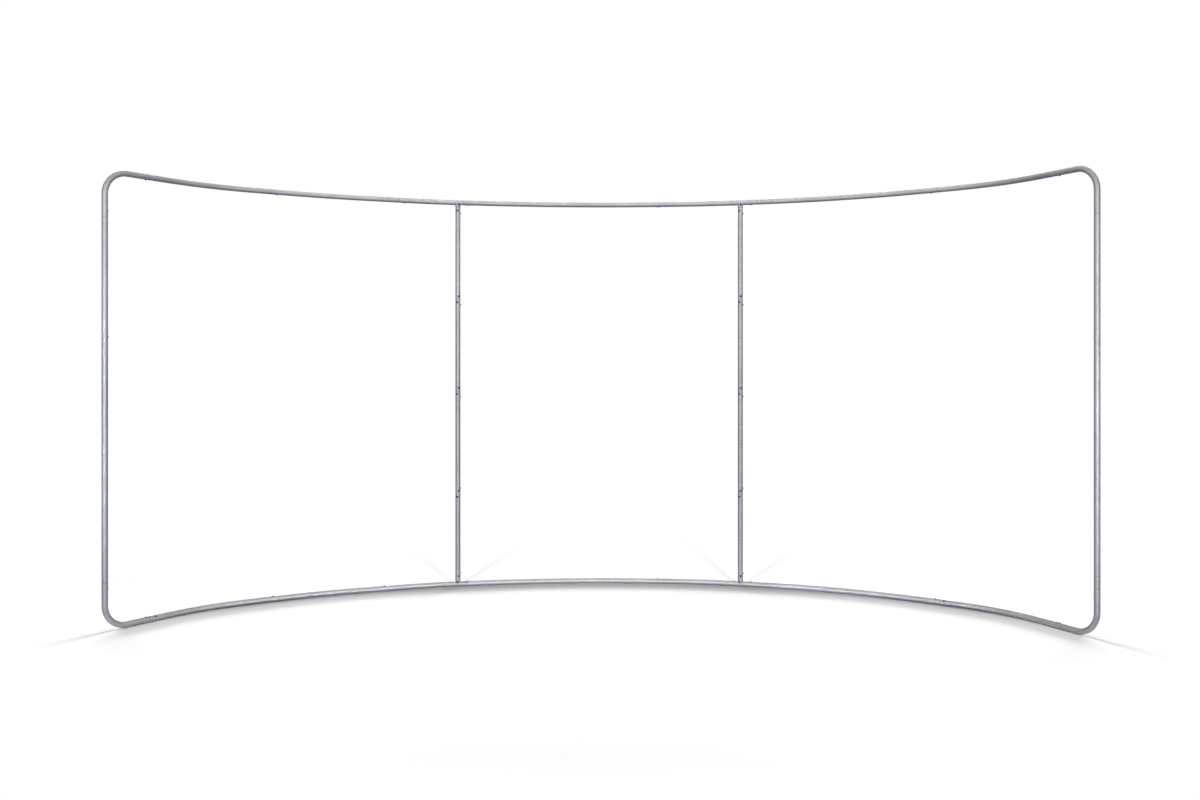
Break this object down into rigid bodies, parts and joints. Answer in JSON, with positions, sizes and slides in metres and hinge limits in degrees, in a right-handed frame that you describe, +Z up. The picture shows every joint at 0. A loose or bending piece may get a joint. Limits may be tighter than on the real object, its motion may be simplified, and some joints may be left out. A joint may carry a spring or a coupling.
{
  "type": "pop up display backwall",
  "caption": "Free-standing curved display backwall frame of plugged round tubes, with two rails, two end posts, two uprights and spring snap buttons.",
  "frame": {"origin": "middle of the footprint, on the floor under the lower rail", "axes": "+X from the left end post to the right one, +Y from the viewer towards the bulge of the wall, +Z up; the frame is hollow towards -Y"},
  "size_m": [4.9554, 1.2715, 2.337],
  "materials": {
    "tube": "satin anodised",
    "button": "dark bronze-grey",
    "spring": "spring steel, plain",
    "marker_dot": "plain blue vinyl"
  },
  "bodies": {
    "frame": {"corner_bottom_left": "tube", "corner_bottom_right": "tube", "corner_top_left": "tube", "corner_top_right": "tube", "bottom_rail_1": "tube", "bottom_rail_2": "tube", "bottom_rail_3": "tube", "bottom_rail_4": "tube", "bottom_rail_5": "tube", "bottom_rail_6": "tube", "bottom_rail_7": "tube", "top_rail_1": "tube", "top_rail_2": "tube", "top_rail_3": "tube", "top_rail_4": "tube", "top_rail_5": "tube", "top_rail_6": "tube", "top_rail_7": "tube", "left_post": "tube", "right_post": "tube", "left_upright": "tube", "right_upright": "tube", "button_springs": "spring", "bottom_rail_dots": "marker_dot", "top_rail_dots": "marker_dot", "upright_dots": "marker_dot"},
    "button_bottom_rail_1": {"button_bottom_rail_1": "button"},
    "button_bottom_rail_2": {"button_bottom_rail_2": "button"},
    "button_bottom_rail_3": {"button_bottom_rail_3": "button"},
    "button_bottom_rail_4": {"button_bottom_rail_4": "button"},
    "button_bottom_rail_5": {"button_bottom_rail_5": "button"},
    "button_bottom_rail_6": {"button_bottom_rail_6": "button"},
    "button_bottom_rail_7": {"button_bottom_rail_7": "button"},
    "button_bottom_rail_8": {"button_bottom_rail_8": "button"},
    "button_top_rail_1": {"button_top_rail_1": "button"},
    "button_top_rail_2": {"button_top_rail_2": "button"},
    "button_top_rail_3": {"button_top_rail_3": "button"},
    "button_top_rail_4": {"button_top_rail_4": "button"},
    "button_top_rail_5": {"button_top_rail_5": "button"},
    "button_top_rail_6": {"button_top_rail_6": "button"},
    "button_top_rail_7": {"button_top_rail_7": "button"},
    "button_top_rail_8": {"button_top_rail_8": "button"},
    "button_left_post_1": {"button_left_post_1": "button"},
    "button_left_post_2": {"button_left_post_2": "button"},
    "button_left_post_3": {"button_left_post_3": "button"},
    "button_left_post_4": {"button_left_post_4": "button"},
    "button_right_post_1": {"button_right_post_1": "button"},
    "button_right_post_2": {"button_right_post_2": "button"},
    "button_right_post_3": {"button_right_post_3": "button"},
    "button_right_post_4": {"button_right_post_4": "button"},
    "button_left_upright_1": {"button_left_upright_1": "button"},
    "button_left_upright_2": {"button_left_upright_2": "button"},
    "button_left_upright_3": {"button_left_upright_3": "button"},
    "button_left_upright_4": {"button_left_upright_4": "button"},
    "button_left_upright_5": {"button_left_upright_5": "button"},
    "button_right_upright_1": {"button_right_upright_1": "button"},
    "button_right_upright_2": {"button_right_upright_2": "button"},
    "button_right_upright_3": {"button_right_upright_3": "button"},
    "button_right_upright_4": {"button_right_upright_4": "button"},
    "button_right_upright_5": {"button_right_upright_5": "button"}
  },
  "joints": [
    {"name": "press_bottom_rail_1", "type": "slide", "parent": "frame", "child": "button_bottom_rail_1", "axis": [0, 0, -1], "range_m": [0, 0.0063], "stiffness_N_per_m": 1500, "springref_m": -0.003},
    {"name": "press_bottom_rail_2", "type": "slide", "parent": "frame", "child": "button_bottom_rail_2", "axis": [0, 0, -1], "range_m": [0, 0.0063], "stiffness_N_per_m": 1500, "springref_m": -0.003},
    {"name": "press_bottom_rail_3", "type": "slide", "parent": "frame", "child": "button_bottom_rail_3", "axis": [0, 0, -1], "range_m": [0, 0.0063], "stiffness_N_per_m": 1500, "springref_m": -0.003},
    {"name": "press_bottom_rail_4", "type": "slide", "parent": "frame", "child": "button_bottom_rail_4", "axis": [0, 0, -1], "range_m": [0, 0.0063], "stiffness_N_per_m": 1500, "springref_m": -0.003},
    {"name": "press_bottom_rail_5", "type": "slide", "parent": "frame", "child": "button_bottom_rail_5", "axis": [0, 0, -1], "range_m": [0, 0.0063], "stiffness_N_per_m": 1500, "springref_m": -0.003},
    {"name": "press_bottom_rail_6", "type": "slide", "parent": "frame", "child": "button_bottom_rail_6", "axis": [0, 0, -1], "range_m": [0, 0.0063], "stiffness_N_per_m": 1500, "springref_m": -0.003},
    {"name": "press_bottom_rail_7", "type": "slide", "parent": "frame", "child": "button_bottom_rail_7", "axis": [0, 0, -1], "range_m": [0, 0.0063], "stiffness_N_per_m": 1500, "springref_m": -0.003},
    {"name": "press_bottom_rail_8", "type": "slide", "parent": "frame", "child": "button_bottom_rail_8", "axis": [0, 0, -1], "range_m": [0, 0.0063], "stiffness_N_per_m": 1500, "springref_m": -0.003},
    {"name": "press_top_rail_1", "type": "slide", "parent": "frame", "child": "button_top_rail_1", "axis": [0, 0, 1], "range_m": [0, 0.0063], "stiffness_N_per_m": 1500, "springref_m": -0.003},
    {"name": "press_top_rail_2", "type": "slide", "parent": "frame", "child": "button_top_rail_2", "axis": [0, 0, 1], "range_m": [0, 0.0063], "stiffness_N_per_m": 1500, "springref_m": -0.003},
    {"name": "press_top_rail_3", "type": "slide", "parent": "frame", "child": "button_top_rail_3", "axis": [0, 0, 1], "range_m": [0, 0.0063], "stiffness_N_per_m": 1500, "springref_m": -0.003},
    {"name": "press_top_rail_4", "type": "slide", "parent": "frame", "child": "button_top_rail_4", "axis": [0, 0, 1], "range_m": [0, 0.0063], "stiffness_N_per_m": 1500, "springref_m": -0.003},
    {"name": "press_top_rail_5", "type": "slide", "parent": "frame", "child": "button_top_rail_5", "axis": [0, 0, 1], "range_m": [0, 0.0063], "stiffness_N_per_m": 1500, "springref_m": -0.003},
    {"name": "press_top_rail_6", "type": "slide", "parent": "frame", "child": "button_top_rail_6", "axis": [0, 0, 1], "range_m": [0, 0.0063], "stiffness_N_per_m": 1500, "springref_m": -0.003},
    {"name": "press_top_rail_7", "type": "slide", "parent": "frame", "child": "button_top_rail_7", "axis": [0, 0, 1], "range_m": [0, 0.0063], "stiffness_N_per_m": 1500, "springref_m": -0.003},
    {"name": "press_top_rail_8", "type": "slide", "parent": "frame", "child": "button_top_rail_8", "axis": [0, 0, 1], "range_m": [0, 0.0063], "stiffness_N_per_m": 1500, "springref_m": -0.003},
    {"name": "press_left_post_1", "type": "slide", "parent": "frame", "child": "button_left_post_1", "axis": [-0.5391, -0.8423, 0], "range_m": [0, 0.0063], "stiffness_N_per_m": 1500, "springref_m": -0.003},
    {"name": "press_left_post_2", "type": "slide", "parent": "frame", "child": "button_left_post_2", "axis": [0.4599, -0.888, 0], "range_m": [0, 0.0063], "stiffness_N_per_m": 1500, "springref_m": -0.003},
    {"name": "press_left_post_3", "type": "slide", "parent": "frame", "child": "button_left_post_3", "axis": [-0.5391, -0.8423, 0], "range_m": [0, 0.0063], "stiffness_N_per_m": 1500, "springref_m": -0.003},
    {"name": "press_left_post_4", "type": "slide", "parent": "frame", "child": "button_left_post_4", "axis": [-0.5391, -0.8423, 0], "range_m": [0, 0.0063], "stiffness_N_per_m": 1500, "springref_m": -0.003},
    {"name": "press_right_post_1", "type": "slide", "parent": "frame", "child": "button_right_post_1", "axis": [0.4574, -0.8893, 0], "range_m": [0, 0.0063], "stiffness_N_per_m": 1500, "springref_m": -0.003},
    {"name": "press_right_post_2", "type": "slide", "parent": "frame", "child": "button_right_post_2", "axis": [-0.5414, -0.8407, 0], "range_m": [0, 0.0063], "stiffness_N_per_m": 1500, "springref_m": -0.003},
    {"name": "press_right_post_3", "type": "slide", "parent": "frame", "child": "button_right_post_3", "axis": [0.4574, -0.8893, 0], "range_m": [0, 0.0063], "stiffness_N_per_m": 1500, "springref_m": -0.003},
    {"name": "press_right_post_4", "type": "slide", "parent": "frame", "child": "button_right_post_4", "axis": [0.4574, -0.8893, 0], "range_m": [0, 0.0063], "stiffness_N_per_m": 1500, "springref_m": -0.003},
    {"name": "press_left_upright_1", "type": "slide", "parent": "frame", "child": "button_left_upright_1", "axis": [-0.9754, -0.2203, 0], "range_m": [0, 0.0063], "stiffness_N_per_m": 1500, "springref_m": -0.003},
    {"name": "press_left_upright_2", "type": "slide", "parent": "frame", "child": "button_left_upright_2", "axis": [-0.9754, -0.2203, 0], "range_m": [0, 0.0063], "stiffness_N_per_m": 1500, "springref_m": -0.003},
    {"name": "press_left_upright_3", "type": "slide", "parent": "frame", "child": "button_left_upright_3", "axis": [-0.9754, -0.2203, 0], "range_m": [0, 0.0063], "stiffness_N_per_m": 1500, "springref_m": -0.003},
    {"name": "press_left_upright_4", "type": "slide", "parent": "frame", "child": "button_left_upright_4", "axis": [-0.9754, -0.2203, 0], "range_m": [0, 0.0063], "stiffness_N_per_m": 1500, "springref_m": -0.003},
    {"name": "press_left_upright_5", "type": "slide", "parent": "frame", "child": "button_left_upright_5", "axis": [-0.9754, -0.2203, 0], "range_m": [0, 0.0063], "stiffness_N_per_m": 1500, "springref_m": -0.003},
    {"name": "press_right_upright_1", "type": "slide", "parent": "frame", "child": "button_right_upright_1", "axis": [-0.9752, 0.2215, 0], "range_m": [0, 0.0063], "stiffness_N_per_m": 1500, "springref_m": -0.003},
    {"name": "press_right_upright_2", "type": "slide", "parent": "frame", "child": "button_right_upright_2", "axis": [-0.9752, 0.2215, 0], "range_m": [0, 0.0063], "stiffness_N_per_m": 1500, "springref_m": -0.003},
    {"name": "press_right_upright_3", "type": "slide", "parent": "frame", "child": "button_right_upright_3", "axis": [-0.9752, 0.2215, 0], "range_m": [0, 0.0063], "stiffness_N_per_m": 1500, "springref_m": -0.003},
    {"name": "press_right_upright_4", "type": "slide", "parent": "frame", "child": "button_right_upright_4", "axis": [-0.9752, 0.2215, 0], "range_m": [0, 0.0063], "stiffness_N_per_m": 1500, "springref_m": -0.003},
    {"name": "press_right_upright_5", "type": "slide", "parent": "frame", "child": "button_right_upright_5", "axis": [-0.9752, 0.2215, 0], "range_m": [0, 0.0063], "stiffness_N_per_m": 1500, "springref_m": -0.003}
  ]
}
